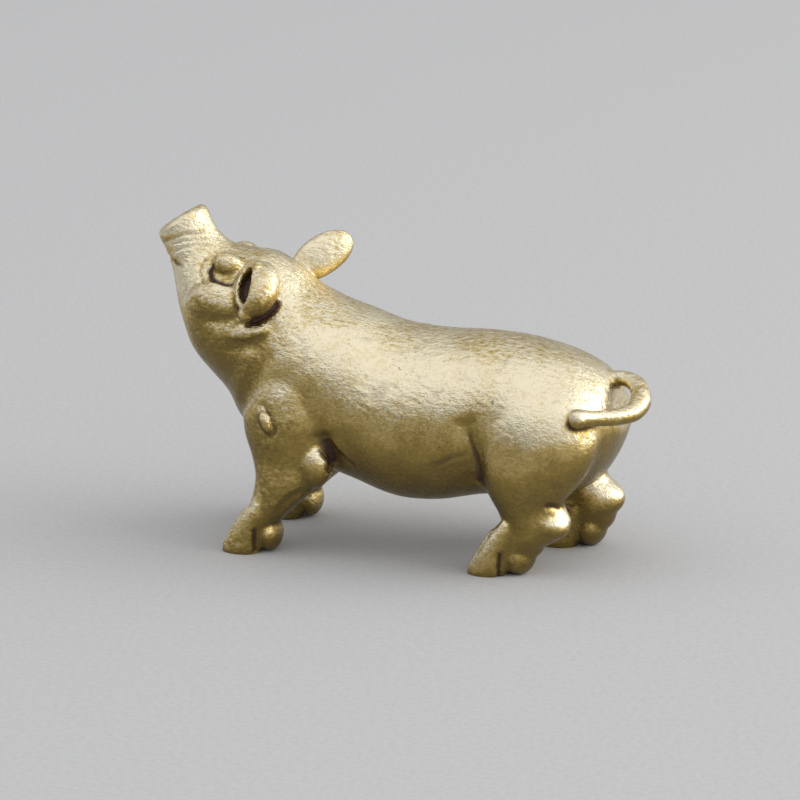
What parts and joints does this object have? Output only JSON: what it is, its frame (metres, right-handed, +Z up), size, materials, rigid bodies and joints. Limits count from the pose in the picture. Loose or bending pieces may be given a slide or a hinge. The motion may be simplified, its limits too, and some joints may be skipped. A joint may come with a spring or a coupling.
{
  "type": "tea pet figurine",
  "caption": "Small solid cast brass pig standing with raised snout, drooping left ear, raised right ear and curled tail, made as a desk or tea tray figurine.",
  "frame": {"origin": "bottom centre of the bounding box, on the plane the four hooves stand on", "axes": "+X from the snout towards the tail, +Y towards the pig's right side, +Z up"},
  "size_m": [0.0452, 0.0166, 0.029],
  "materials": {
    "antique_brass": "antique brass, polished on the high points and darkened in the creases"
  },
  "bodies": {
    "root": {"pig": "antique_brass"}
  },
  "joints": []
}
